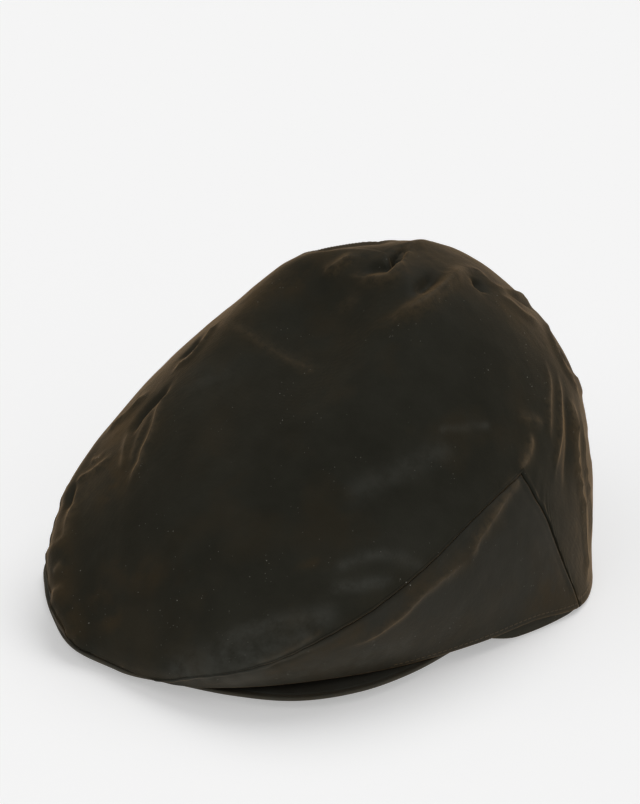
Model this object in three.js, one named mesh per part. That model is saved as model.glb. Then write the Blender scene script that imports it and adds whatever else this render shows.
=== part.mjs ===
// Waxed flat cap standing on its rear and side hem.
// Millimetres, +Z up, peak towards -Y, the left side of the cap towards +X.
// The outer cloth surface is one sheet named by (deg, level): deg runs round the cap from the
// front, level runs from the bottom edge (0) through four rings to the top (1).
// The panels are cut out of that sheet along the seams and given a wall.
import * as THREE from "three";

// Cloth and seams
const CLOTH_WALL = 1.6;
const SEAM_CLEAR = 0.4;
const HEM_CLEAR = 0.5;

// Peak
const PEAK_THICK = 1.7;
const PEAK_CENTRE_Y = -42;
const PEAK_HALF_DEG = 96;
const PEAK_ROOT_DEG = 61;
const PEAK_ROOT_Z = 4.5;
const PEAK_ARCH = 0.1;

// Headband, an egg-shaped strip just inside the hem, with its lower edge lifted at the front
const BAND_HALF_WIDTH = 100.9;
const BAND_FRONT_Y = -86;
const BAND_WIDE_Y = 22;
const BAND_BACK_Y = 94.6;
const BAND_BACK_SQUARE = 1.7;
const BAND_WALL = 1.8;
const BAND_TOP_Z = 20;
const BAND_LEAN_LEFT = 6.6;
const BAND_LEAN_RIGHT = 11.1;
const BAND_LEAN_LENGTH = 2;
const BAND_FRONT_LIFT = 6;
const BAND_LIFT_START_Y = -6;
const BAND_LIFT_FULL_Y = -33;

// Top of the crown
const POLE_Y = 18.4;
const POLE_Z = 136.4;

// Move along Y that brings the middle of the base to the origin
const CENTRE_SHIFT_Y = 20.2;

// Mesh fineness
const SEAM_COLUMNS = 20;
const BACK_COLUMNS = 7;
const REAR_COLUMNS = 8;
const CROWN_ROWS = 24;
const PEAK_COLUMNS = 42;
const PEAK_ROWS = 5;
const BAND_COLUMNS = 72;

// Bottom edge of the cloth every 15 degrees: its place on the left, and how much further out
// it is on the right
const HEM_EDGE = [
  { deg: 0, x: 0, y: -140.6, z: 5.9, rightOut: 0 },
  { deg: 15, x: 27, y: -137, z: 6.2, rightOut: 2.3 },
  { deg: 30, x: 51, y: -124.5, z: 8.8, rightOut: 3.2 },
  { deg: 45, x: 72, y: -100, z: 9.7, rightOut: 4.5 },
  { deg: 60, x: 85, y: -65, z: 6.4, rightOut: 3 },
  { deg: 75, x: 95.2, y: -29.5, z: 5.7, rightOut: 1 },
  { deg: 90, x: 100.5, y: 0.4, z: 5.7, rightOut: 0 },
  { deg: 105, x: 102.4, y: 26.8, z: 1.8, rightOut: 0 },
  { deg: 120, x: 94.8, y: 46.2, z: 1.2, rightOut: 0 },
  { deg: 135, x: 77, y: 67, z: 1.5, rightOut: 0 },
  { deg: 150, x: 54.5, y: 84.5, z: 2, rightOut: 0 },
  { deg: 165, x: 28.5, y: 95, z: 2, rightOut: 0 },
  { deg: 180, x: 0, y: 98.8, z: 2, rightOut: 0 },
];

// Rings above the bottom edge: half width on each side, front, widest place, back,
// squareness, and height at the front, side and back
const RINGS = [
  { left: 96.7, right: 84.5, front: -140.8, mid: -30.8, back: 98.3, square: 2.7, zFront: 8.8, zSide: 55.9, zBack: 39.6 },
  { left: 83.6, right: 84.6, front: -130.8, mid: 1.1, back: 99.4, square: 2.2, zFront: 26.3, zSide: 77.2, zBack: 80.7 },
  { left: 62.4, right: 62.9, front: -91.9, mid: 13.5, back: 89.6, square: 1.9, zFront: 69.9, zSide: 105.1, zBack: 102.2 },
  { left: 35.1, right: 34.8, front: -25.3, mid: 6.1, back: 65.6, square: 1.7, zFront: 108.7, zSide: 129.4, zBack: 123.8 },
];

// Top seam from the front tip to the apex, then the back seam down to the hem
const TOP_SEAM = [
  { deg: 9, level: 0.022 },
  { deg: 14, level: 0.085 },
  { deg: 20, level: 0.16 },
  { deg: 26, level: 0.172 },
  { deg: 38, level: 0.17 },
  { deg: 50, level: 0.19 },
  { deg: 62, level: 0.197 },
  { deg: 75, level: 0.22 },
  { deg: 85, level: 0.263 },
  { deg: 91, level: 0.298 },
  { deg: 97, level: 0.325 },
];
const BACK_SEAM = [
  { deg: 97, level: 0.325 },
  { deg: 102.5, level: 0.268 },
  { deg: 106.5, level: 0.208 },
  { deg: 108.7, level: 0.165 },
  { deg: 108.8, level: 0.11 },
  { deg: 107.6, level: 0.055 },
  { deg: 106, level: 0 },
];
const TIP_DEG = 9;
const TIP_TOP_DEG = 24;
const APEX_TOP_DEG = 94;
const HEM_TOP_DEG = 124;

// Lower edge of the peak's rim about its centre: reach on each side and height
const PEAK_RIM = [
  { deg: 0, left: 98.8, right: 98.8, z: 3.6 },
  { deg: 15, left: 94.7, right: 102, z: 3.9 },
  { deg: 30, left: 95.7, right: 100.2, z: 4 },
  { deg: 45, left: 98, right: 100.9, z: 4.1 },
  { deg: 60, left: 95.6, right: 103.5, z: 4 },
  { deg: 75, left: 91.4, right: 97, z: 3.8 },
  { deg: 90, left: 88.8, right: 88.8, z: 3.6 },
  { deg: 105, left: 89.8, right: 89, z: 3.6 },
];

// Folds and dents of the cloth: a line from one place to another, its half width and its height
const FOLDS = [
  { name: "crown ridge behind the pit", deg0: 142, level0: 0.95, deg1: 42, level1: 0.93, wide: 6, high: 2.2 },
  { name: "crown pit", deg0: 80, level0: 0.965, deg1: 62, level1: 0.95, wide: 5, high: -3.0 },
  { name: "far crown ridge", deg0: -46, level0: 0.87, deg1: 162, level1: 0.97, wide: 7, high: 1.6 },
  { name: "long crown ridge", deg0: 140, level0: 0.8, deg1: 55, level1: 0.79, wide: 7, high: 2.2 },
  { name: "rear dimple", deg0: 123, level0: 0.755, deg1: 119, level1: 0.735, wide: 7, high: -2.6 },
  { name: "rear ridge", deg0: 131, level0: 0.74, deg1: 135, level1: 0.6, wide: 6, high: 1.8 },
  { name: "rear valley", deg0: 130, level0: 0.7, deg1: 139, level1: 0.62, wide: 6, high: -1.6 },
  { name: "diagonal crease", deg0: -63, level0: 0.65, deg1: 12, level1: 0.77, wide: 7, high: 1.4 },
  { name: "rear upright ridge", deg0: 116, level0: 0.37, deg1: 113, level1: 0.06, wide: 7, high: 1.4 },
  { name: "second upright ridge", deg0: 110, level0: 0.44, deg1: 107, level1: 0.33, wide: 6, high: 1.3 },
  { name: "apex fold", deg0: 96, level0: 0.5, deg1: 95, level1: 0.36, wide: 6, high: 1.2 },
  { name: "side panel crease", deg0: 60, level0: 0.14, deg1: 92, level1: 0.26, wide: 6, high: 1.6 },
  { name: "far ridge one", deg0: -47, level0: 0.59, deg1: -25, level1: 0.5, wide: 6, high: 1.6 },
  { name: "far ridge two", deg0: -44, level0: 0.45, deg1: -50, level1: 0.3, wide: 6, high: 1.4 },
  { name: "far valley", deg0: -50, level0: 0.56, deg1: -47, level1: 0.48, wide: 6, high: -1.5 },
  { name: "far hollow", deg0: -47, level0: 0.32, deg1: -40, level1: 0.26, wide: 7, high: -1.6 },
  { name: "hidden side ridge", deg0: -118, level0: 0.4, deg1: -112, level1: 0.1, wide: 7, high: 1.4 },
  { name: "summit sag", deg0: -96, level0: 0.785, deg1: -138, level1: 0.857, wide: 12, high: -2.2 },
  { name: "far cheek", deg0: -41, level0: 0.155, deg1: -55, level1: 0.215, wide: 10, high: -1.2 },
  { name: "far lip", deg0: -17, level0: 0.13, deg1: -29, level1: 0.168, wide: 7, high: 1.8 },
  { name: "rear elbow", deg0: 152, level0: 0.575, deg1: 147, level1: 0.49, wide: 8, high: 0.6 },
  { name: "rear sag", deg0: 172, level0: 0.5, deg1: -165, level1: 0.42, wide: 12, high: -2.0 },
];

const RAD = Math.PI / 180;

// Smooth value of one column of a table with evenly spaced deg rows
function tableValue(rows, column, deg, mirrored) {
  const step = rows[1].deg - rows[0].deg;
  const place = Math.min(Math.abs(deg), rows[rows.length - 1].deg) / step;
  const i = Math.min(Math.floor(place), rows.length - 2);
  const t = place - i;
  const sign = mirrored ? -1 : 1;
  const p1 = rows[i][column];
  const p2 = rows[i + 1][column];
  const p0 = i > 0 ? rows[i - 1][column] : sign * rows[1][column];
  const p3 = i + 2 < rows.length ? rows[i + 2][column] : sign * rows[rows.length - 2][column];
  const bend = 2 * p0 - 5 * p1 + 4 * p2 - p3;
  const twist = 3 * p1 - p0 - 3 * p2 + p3;
  return p1 + 0.5 * t * (p2 - p0 + t * (bend + t * twist));
}

// Straight-line reading of a path table at a share of its length, 0 to 1
function pathPoint(rows, share) {
  const place = share * (rows.length - 1);
  const i = Math.min(Math.floor(place), rows.length - 2);
  const t = place - i;
  const a = rows[i];
  const b = rows[i + 1];
  return { deg: a.deg + (b.deg - a.deg) * t, level: a.level + (b.level - a.level) * t };
}

function hemPoint(deg) {
  const side = deg < 0 ? -1 : 1;
  const x = side * tableValue(HEM_EDGE, "x", deg, true);
  const y = tableValue(HEM_EDGE, "y", deg, false);
  const z = tableValue(HEM_EDGE, "z", deg, false);
  const out = deg < 0 ? tableValue(HEM_EDGE, "rightOut", deg, false) : 0;
  const further = 1 + out / Math.hypot(x, y - PEAK_CENTRE_Y);
  return new THREE.Vector3(x * further, PEAK_CENTRE_Y + (y - PEAK_CENTRE_Y) * further, z);
}

function ringPoint(ring, deg) {
  const s = Math.sin(deg * RAD);
  const c = Math.cos(deg * RAD);
  const k = Math.pow(Math.pow(Math.abs(s), ring.square) + Math.pow(Math.abs(c), ring.square), -1 / ring.square);
  const x = (s > 0 ? ring.left : ring.right) * s * k;
  const reach = c > 0 ? ring.front - ring.mid : ring.mid - ring.back;
  const end = c > 0 ? ring.zFront : ring.zBack;
  return new THREE.Vector3(x, ring.mid + reach * c * k, ring.zSide + (end - ring.zSide) * c * c);
}

// Control points from below the hem, over the top and one ring down the other side
function controlPoints(deg) {
  const hem = hemPoint(deg);
  const rings = RINGS.map((ring) => ringPoint(ring, deg));
  const below = hem.clone().multiplyScalar(2).sub(rings[0]);
  const pole = new THREE.Vector3(0, POLE_Y, POLE_Z);
  const beyond = ringPoint(RINGS[3], deg > 0 ? deg - 180 : deg + 180);
  return [below, hem, ...rings, pole, beyond];
}

function bareSheet(deg, level) {
  const wrapped = deg > 180 ? deg - 360 : deg < -180 ? deg + 360 : deg;
  const points = controlPoints(wrapped);
  const place = Math.min(Math.max(level, 0), 1) * 5;
  const i = Math.min(Math.floor(place), 4);
  const t = place - i;
  const [p0, p1, p2, p3] = points.slice(i, i + 4);
  const d0 = p1.distanceTo(p0) + 1e-6;
  const d1 = p2.distanceTo(p1) + 1e-6;
  const d2 = p3.distanceTo(p2) + 1e-6;
  const slope = (a, b, c, da, db) => {
    const first = b.clone().sub(a).multiplyScalar(db / da);
    const second = c.clone().sub(b).multiplyScalar(da / db);
    return first.add(second).multiplyScalar(1 / (da + db));
  };
  const m1 = slope(p0, p1, p2, d0, d1).multiplyScalar(d1);
  const m2 = slope(p1, p2, p3, d1, d2).multiplyScalar(d1);
  const out = p1.clone().multiplyScalar(2 * t ** 3 - 3 * t ** 2 + 1);
  out.addScaledVector(m1, t ** 3 - 2 * t ** 2 + t);
  out.addScaledVector(p2, -2 * t ** 3 + 3 * t ** 2);
  return out.addScaledVector(m2, t ** 3 - t ** 2);
}

function bareNormal(deg, level) {
  if (level > 0.999) {
    return new THREE.Vector3(0, 0, 1);
  }
  const low = Math.max(level - 0.006, 0);
  const up = bareSheet(deg, Math.min(level + 0.006, 1)).sub(bareSheet(deg, low));
  const round = bareSheet(deg + 0.6, level).sub(bareSheet(deg - 0.6, level));
  return round.cross(up).normalize();
}

// Folds laid over the bare sheet
const FOLD_LINES = FOLDS.map((fold) => {
  const start = bareSheet(fold.deg0, fold.level0);
  const end = bareSheet(fold.deg1, fold.level1);
  return { fold, line: new THREE.Line3(start, end) };
});

function foldHeight(point, level) {
  const fade = Math.min(level / 0.05, 1);
  let height = 0;
  for (const { fold, line } of FOLD_LINES) {
    const share = line.closestPointToPointParameter(point, true);
    const distance = line.at(share, new THREE.Vector3()).distanceTo(point);
    const ends = 0.55 + 0.45 * Math.sin(Math.PI * share);
    height += fold.high * ends * Math.exp(-((distance / fold.wide) ** 2));
  }
  return height * fade;
}

function sheet(deg, level) {
  const point = bareSheet(deg, level);
  const normal = bareNormal(deg, level);
  return point.clone().addScaledVector(normal, foldHeight(point, level));
}

// A closed solid from an outer grid of points and the same grid moved inwards
function closedShell(outer, inner, wraps, capped) {
  const rows = outer.length;
  const columns = outer[0].length;
  const positions = [];
  const ids = [];
  for (const grid of [outer, inner]) {
    const layer = [];
    for (let j = 0; j < rows; j += 1) {
      const row = [];
      for (let i = 0; i < columns; i += 1) {
        if (capped && j === rows - 1 && i > 0) {
          row.push(row[0]);
          continue;
        }
        row.push(positions.length / 3);
        positions.push(grid[j][i].x, grid[j][i].y, grid[j][i].z);
      }
      layer.push(row);
    }
    ids.push(layer);
  }
  const faces = [];
  const addQuad = (a, b, c, d) => {
    if (a !== b && b !== c && a !== c) {
      faces.push(a, b, c);
    }
    if (a !== c && c !== d && a !== d) {
      faces.push(a, c, d);
    }
  };
  const spans = wraps ? columns : columns - 1;
  for (let j = 0; j + 1 < rows; j += 1) {
    for (let i = 0; i < spans; i += 1) {
      const n = (i + 1) % columns;
      addQuad(ids[0][j][i], ids[0][j][n], ids[0][j + 1][n], ids[0][j + 1][i]);
      addQuad(ids[1][j][i], ids[1][j + 1][i], ids[1][j + 1][n], ids[1][j][n]);
    }
  }
  for (let i = 0; i < spans; i += 1) {
    const n = (i + 1) % columns;
    addQuad(ids[0][0][i], ids[1][0][i], ids[1][0][n], ids[0][0][n]);
    if (!capped) {
      const top = rows - 1;
      addQuad(ids[0][top][i], ids[0][top][n], ids[1][top][n], ids[1][top][i]);
    }
  }
  if (!wraps) {
    const last = columns - 1;
    for (let j = 0; j + 1 < rows; j += 1) {
      addQuad(ids[0][j][0], ids[0][j + 1][0], ids[1][j + 1][0], ids[1][j][0]);
      addQuad(ids[0][j][last], ids[1][j][last], ids[1][j + 1][last], ids[0][j + 1][last]);
    }
  }
  const geometry = new THREE.BufferGeometry();
  geometry.setAttribute("position", new THREE.Float32BufferAttribute(positions, 3));
  geometry.setIndex(faces);
  geometry.computeVertexNormals();
  return geometry;
}

function inwards(grid, places, wall) {
  return grid.map((row, j) => row.map((point, i) => {
    const place = places[j][i];
    return point.clone().addScaledVector(bareNormal(place.deg, place.level), -wall);
  }));
}

// Move an edge point within the sheet, square to the seam, to leave the clearance
function clearSeam(point, place, before, after, amount) {
  const along = sheet(after.deg, after.level).sub(sheet(before.deg, before.level));
  const across = bareNormal(place.deg, place.level).cross(along).normalize();
  return point.clone().addScaledVector(across, amount);
}

// Places along the lower edge of the top panel on the left side, front to back
function topPanelEdge() {
  const edge = [];
  edge.push({ deg: 0, level: 0, top: 0, kind: "hem" });
  edge.push({ deg: 5, level: 0, top: 12, kind: "hem" });
  for (let i = 0; i <= SEAM_COLUMNS; i += 1) {
    const share = i / SEAM_COLUMNS;
    const top = TIP_TOP_DEG + (APEX_TOP_DEG - TIP_TOP_DEG) * share;
    edge.push({ ...pathPoint(TOP_SEAM, share), top, kind: "seam", path: TOP_SEAM, share });
  }
  for (let i = 1; i <= BACK_COLUMNS; i += 1) {
    const share = i / BACK_COLUMNS;
    const top = APEX_TOP_DEG + (HEM_TOP_DEG - APEX_TOP_DEG) * share;
    edge.push({ ...pathPoint(BACK_SEAM, share), top, kind: "seam", path: BACK_SEAM, share });
  }
  const hemStart = BACK_SEAM[BACK_SEAM.length - 1].deg;
  for (let i = 1; i <= REAR_COLUMNS; i += 1) {
    const share = i / REAR_COLUMNS;
    const top = HEM_TOP_DEG + (180 - HEM_TOP_DEG) * share;
    edge.push({ deg: hemStart + (180 - hemStart) * share, level: 0, top, kind: "hem" });
  }
  return edge;
}

// Shift of a seam point for the piece above (+1) or below (-1) the seam, on one side of the cap
function seamEdgePoint(place, side, upper) {
  const here = { deg: side * place.deg, level: place.level };
  const point = sheet(here.deg, here.level);
  if (place.kind !== "seam") {
    return point;
  }
  const step = 0.02;
  const before = pathPoint(place.path, Math.max(place.share - step, 0));
  const after = pathPoint(place.path, Math.min(place.share + step, 1));
  const from = { deg: side * before.deg, level: before.level };
  const to = { deg: side * after.deg, level: after.level };
  return clearSeam(point, here, from, to, side * upper * SEAM_CLEAR / 2);
}

function crownTop() {
  const half = topPanelEdge();
  const left = half.map((place) => ({ ...place, side: 1 }));
  const right = half.slice(1, -1).reverse().map((place) => ({ ...place, side: -1 }));
  const edge = [...left, ...right];
  const places = [];
  const outer = [];
  for (let j = 0; j <= CROWN_ROWS; j += 1) {
    const rise = j / CROWN_ROWS;
    const turn = 1 - (1 - rise) ** 3;
    const rowPlaces = [];
    const row = [];
    for (const place of edge) {
      const deg = place.side * (place.deg + (place.top - place.deg) * turn);
      const level = place.level + (1 - place.level) * rise;
      rowPlaces.push({ deg, level });
      row.push(j === 0 ? seamEdgePoint(place, place.side, 1) : sheet(deg, level));
    }
    places.push(rowPlaces);
    outer.push(row);
  }
  return closedShell(outer, inwards(outer, places, CLOTH_WALL), true, true);
}

function sidePanel(side) {
  const places = [];
  const outer = [];
  const hemEnd = BACK_SEAM[BACK_SEAM.length - 1].deg;
  for (let j = 0; j <= BACK_COLUMNS; j += 1) {
    const rise = j / BACK_COLUMNS;
    const rowPlaces = [];
    const row = [];
    for (let i = 0; i <= SEAM_COLUMNS; i += 1) {
      const share = i / SEAM_COLUMNS;
      const top = pathPoint(TOP_SEAM, share);
      const bottomDeg = TIP_DEG + (hemEnd - TIP_DEG) * share;
      const back = pathPoint(BACK_SEAM, 1 - rise);
      const backStraight = hemEnd + (BACK_SEAM[0].deg - hemEnd) * rise;
      const bow = (back.deg - backStraight) * share ** 3;
      const levelBow = (back.level - BACK_SEAM[0].level * rise) * share ** 3;
      const deg = bottomDeg + (top.deg - bottomDeg) * rise + bow;
      const level = top.level * rise + levelBow;
      rowPlaces.push({ deg: side * deg, level });
      let point = sheet(side * deg, level);
      if (j === BACK_COLUMNS) {
        point = seamEdgePoint({ ...top, kind: "seam", path: TOP_SEAM, share }, side, -1);
      } else if (i === SEAM_COLUMNS) {
        point = seamEdgePoint({ ...back, kind: "seam", path: BACK_SEAM, share: 1 - rise }, side, -1);
      }
      row.push(point);
    }
    if (side < 0) {
      row.reverse();
      rowPlaces.reverse();
    }
    places.push(rowPlaces);
    outer.push(row);
  }
  return closedShell(outer, inwards(outer, places, CLOTH_WALL), false, false);
}

function bandPoint(deg, inset, lean) {
  const s = Math.sin(deg * RAD);
  const c = Math.cos(deg * RAD);
  const square = c > 0 ? 2 : BAND_BACK_SQUARE;
  const k = (Math.abs(s) ** square + Math.abs(c) ** square) ** (-1 / square);
  const end = c > 0 ? BAND_FRONT_Y : BAND_BACK_Y;
  const reach = Math.abs(BAND_WIDE_Y - end) - inset - lean * BAND_LEAN_LENGTH;
  const sideLean = s > 0 ? BAND_LEAN_LEFT : BAND_LEAN_RIGHT;
  const halfWidth = BAND_HALF_WIDTH - inset - lean * sideLean;
  return { x: halfWidth * s * k, y: BAND_WIDE_Y - reach * c * k };
}

function peak() {
  const outer = [];
  const lower = [];
  for (let j = 0; j <= PEAK_ROWS; j += 1) {
    const share = j / PEAK_ROWS;
    const top = [];
    const bottom = [];
    for (let i = 0; i <= PEAK_COLUMNS; i += 1) {
      const deg = PEAK_HALF_DEG * (2 * i / PEAK_COLUMNS - 1);
      const reach = tableValue(PEAK_RIM, deg < 0 ? "right" : "left", deg, false);
      const rimX = reach * Math.sin(deg * RAD);
      const rimY = PEAK_CENTRE_Y - reach * Math.cos(deg * RAD);
      const rimZ = tableValue(PEAK_RIM, "z", deg, false);
      const root = bandPoint(deg * PEAK_ROOT_DEG / PEAK_HALF_DEG, -HEM_CLEAR, 0);
      const x = rimX + (root.x - rimX) * share;
      const y = rimY + (root.y - rimY) * share;
      const arch = PEAK_ARCH * Math.sin(Math.PI * share);
      const z = rimZ + (PEAK_ROOT_Z - rimZ) * share + arch;
      bottom.push(new THREE.Vector3(x, y, z));
      top.push(new THREE.Vector3(x, y, z + PEAK_THICK));
    }
    outer.push(top);
    lower.push(bottom);
  }
  return closedShell(outer, lower, false, false);
}

function headband() {
  const outer = [[], []];
  const inner = [[], []];
  for (let i = 0; i < BAND_COLUMNS; i += 1) {
    const deg = 360 * i / BAND_COLUMNS;
    const out = bandPoint(deg, 0, 0);
    const back = bandPoint(deg, BAND_WALL, 0);
    const outTop = bandPoint(deg, 0, 1);
    const backTop = bandPoint(deg, BAND_WALL, 1);
    const run = (BAND_LIFT_START_Y - out.y) / (BAND_LIFT_START_Y - BAND_LIFT_FULL_Y);
    const share = Math.min(Math.max(run, 0), 1);
    const lift = BAND_FRONT_LIFT * share * share * (3 - 2 * share);
    outer[0].push(new THREE.Vector3(out.x, out.y, lift));
    outer[1].push(new THREE.Vector3(outTop.x, outTop.y, BAND_TOP_Z));
    inner[0].push(new THREE.Vector3(back.x, back.y, lift));
    inner[1].push(new THREE.Vector3(backTop.x, backTop.y, BAND_TOP_Z));
  }
  return closedShell(outer, inner, true, false);
}

function addPiece(group, name, geometry, colour) {
  const material = new THREE.MeshStandardMaterial({ color: colour, roughness: 0.55, metalness: 0 });
  material.name = name + "_waxed_cotton";
  geometry.translate(0, CENTRE_SHIFT_Y, 0);
  const mesh = new THREE.Mesh(geometry, material);
  mesh.name = name;
  group.add(mesh);
}

const cap = new THREE.Group();
cap.name = "waxed_flat_cap";
addPiece(cap, "crown_top", crownTop(), 0x2a2822);
addPiece(cap, "side_panel_left", sidePanel(1), 0x34322b);
addPiece(cap, "side_panel_right", sidePanel(-1), 0x34322b);
addPiece(cap, "peak", peak(), 0x2c2a24);
addPiece(cap, "headband", headband(), 0x302d26);

export default cap;
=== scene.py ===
"""Looks of a waxed flat cap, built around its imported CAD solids.

The outer cloth is one sheet whose places are named by (deg, level). deg runs round the cap from the front,
positive on the wearer's left (+X). level runs from the bottom edge (0) through four rings to the top (1).
The panels are cut out of that sheet along the seams. Tables are in millimetres and in the CAD source's own
place, before its move along Y. Meshes are in metres.
"""
import math

import bpy
import numpy as np
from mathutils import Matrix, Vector, noise


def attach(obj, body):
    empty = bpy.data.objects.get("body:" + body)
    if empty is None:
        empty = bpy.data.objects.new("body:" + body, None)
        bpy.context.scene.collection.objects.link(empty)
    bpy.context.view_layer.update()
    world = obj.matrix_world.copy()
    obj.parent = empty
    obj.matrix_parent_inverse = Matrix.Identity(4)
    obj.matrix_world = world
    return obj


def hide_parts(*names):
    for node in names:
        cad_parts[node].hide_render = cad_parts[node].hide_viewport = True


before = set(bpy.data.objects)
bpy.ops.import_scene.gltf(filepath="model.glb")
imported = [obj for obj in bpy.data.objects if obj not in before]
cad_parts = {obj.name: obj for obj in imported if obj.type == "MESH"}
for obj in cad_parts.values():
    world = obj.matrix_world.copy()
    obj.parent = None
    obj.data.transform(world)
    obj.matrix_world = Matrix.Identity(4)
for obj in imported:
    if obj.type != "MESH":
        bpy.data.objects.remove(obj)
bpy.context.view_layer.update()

MM = 0.001
CENTRE_SHIFT_Y = 20.2

# Cloth and seams
CLOTH_WALL = 1.5
SEAM_CLEAR = 0.2
SEAM_CLEAR_REACH = 3
EDGE_ROLL = 0.8
EDGE_ROWS = (0.0, 0.1, 0.25, 0.5, 0.8, 1.3, 2.0, 3.0)
FELL_AT = 1.6
FELL_HIGH = 0.35
FELL_WIDE = 0.9
SEAM_PUCKER = 0.2
PUCKER_WAVE = 9.0
PUCKER_REACH = 6.0
CRINKLE_HIGH = 0.34
CRINKLE_SIZE = 26.0
CRINKLE_FROM_EDGE = 12
HEM_WEAR = 0.9
HEM_WEAR_REACH = 1.0
BROAD_WEAR = 0.6
BROAD_WEAR_REACH = 1.3
CREST_REACH = 2.0
NO_CREST = 9.0
WAXED_DEPTH = 1.6
STITCH_AT = 3.0
STITCH_FROM_DEG = 58
TOPSTITCH_AT = 2.2
NO_STITCH = 30.0

# Peak
PEAK_THICK = 1.7
PEAK_GROW = 0.35
PEAK_CENTRE_Y = -42
PEAK_HALF_DEG = 96
PEAK_ROOT_DEG = 61
PEAK_ROOT_Z = 4.5
PEAK_EDGE_ROWS = (0.8, 1.5, 1.9, 2.15, 2.4, 2.8, 3.6)
PEAK_GROOVE = 0.25
PEAK_GROOVE_WIDE = 0.5
PEAK_RIM_WEAR = 0.3

# Headband
BAND_HALF_WIDTH = 100.9
BAND_FRONT_Y = -86
BAND_WIDE_Y = 22
BAND_BACK_Y = 94.6
BAND_BACK_SQUARE = 1.7
BAND_WALL = 1.8
BAND_TOP_Z = 20
BAND_LEAN_LEFT = 6.6
BAND_LEAN_RIGHT = 11.1
BAND_LEAN_LENGTH = 2
BAND_FRONT_LIFT = 6
BAND_LIFT_START_Y = -6
BAND_LIFT_FULL_Y = -33
BAND_CLEAR = 0.5
BAND_EDGE_WEAR = 0.8
BAND_WEAR = 0.1

# Top of the crown
POLE = (0.0, 18.4, 136.4)

# Mesh fineness
FRONT_HEM_COLUMNS = 8
SEAM_COLUMNS = 120
BACK_COLUMNS = 44
REAR_COLUMNS = 50
CROWN_ROWS = 150
INNER_ROW_STEP = 4
SIDE_ROWS = 56
PEAK_COLUMNS = 160
PEAK_ROWS = 16
BAND_COLUMNS = 300

# Thread pitch in metres, and the shader's thin lines in millimetres
THREAD_PITCH = .0006
CREST_WIDTH = .9
STITCH_WIDTH = .3
STITCH_LENGTH = 2.6

# Colours
DARK = (.0185, .0180, .0125)
LIGHT = (.0280, .0272, .0198)
# Left side panel's cloth: painted light, a lighter copy of the crown's cloth as if more lit by the floor and
# the side
SIDE_PAINTED_LIT_DARK = (.0255, .0246, .0185)
SIDE_PAINTED_LIT_LIGHT = (.0350, .0336, .0264)
# Painted highlight colour for the satin patches
SATIN_HIGHLIGHT_PAINT = (.0560, .0560, .0470)
# Headband cloth: painted light, lighter tones that make up for the shade under the hem
BAND_PAINTED_LIT_DARK = (.042, .0405, .0320)
BAND_PAINTED_LIT_LIGHT = (.054, .0511, .0388)
# Peak cloth: painted light, lighter tones that make up for the shade in the gap under the hem
PEAK_PAINTED_LIT_DARK = (.060, .0595, .0495)
PEAK_PAINTED_LIT_LIGHT = (.076, .0755, .0630)
BROWN = (.092, .065, .036)
RUSTY = (.0480, .0335, .0165)
# Tan of cracked wax on fold crests and of worn stitch thread; on the crests it is partly a painted ridge
# highlight
WORN_AND_RIDGE_HIGHLIGHT = (.104, .078, .049)
# Painted shade of the groove along the topstitching
STITCH_GROOVE_SHADE = (.0060, .0058, .0040)
LINT = (.24, .23, .20)
LINT_DIM = (.12, .115, .096)

# Camera of the photo, in metres and degrees
IMAGE_WIDTH = 640
FOCAL_PX = 3099.2
SENSOR_WIDTH = 36.0
CAMERA_AZIMUTH = 42.0
CAMERA_ELEVATION = 26.0
CAMERA_DISTANCE = 1.3
TARGET = (0.0, 0.0002, 0.05)
SHIFT_X_PX = -0.5
SHIFT_Y_PX = 67.0

# Studio: each light's place in the sky, strength and width in degrees
FLOOR_SIZE = 16.0
FLOOR_TONE = .8
FLOOR_GLOW = .364
SKY_STRENGTH = .21
LIGHTS = [
    {"name": "key", "towards": (-.06, .82, 1.4), "strength": 1.22, "spread": 52},
    {"name": "side", "towards": (1.4, -.2, 1.0), "strength": .25, "spread": 60},
    {"name": "fill", "towards": (-.4, -1.0, 1.2), "strength": .4, "spread": 70},
]

# Bottom edge of the cloth every 15 degrees: its place on the left, and how much further out the right is
HEM_EDGE = [
    {"deg": 0, "x": 0, "y": -140.6, "z": 5.9, "right_out": 0},
    {"deg": 15, "x": 27, "y": -137, "z": 6.2, "right_out": 2.3},
    {"deg": 30, "x": 51, "y": -124.5, "z": 8.8, "right_out": 3.2},
    {"deg": 45, "x": 72, "y": -100, "z": 9.7, "right_out": 4.5},
    {"deg": 60, "x": 85, "y": -65, "z": 6.4, "right_out": 3},
    {"deg": 75, "x": 95.2, "y": -29.5, "z": 5.7, "right_out": 1},
    {"deg": 90, "x": 100.5, "y": .4, "z": 5.7, "right_out": 0},
    {"deg": 105, "x": 102.4, "y": 26.8, "z": 1.8, "right_out": 0},
    {"deg": 120, "x": 94.8, "y": 46.2, "z": 1.2, "right_out": 0},
    {"deg": 135, "x": 77, "y": 67, "z": 1.5, "right_out": 0},
    {"deg": 150, "x": 54.5, "y": 84.5, "z": 2, "right_out": 0},
    {"deg": 165, "x": 28.5, "y": 95, "z": 2, "right_out": 0},
    {"deg": 180, "x": 0, "y": 98.8, "z": 2, "right_out": 0},
]

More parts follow.
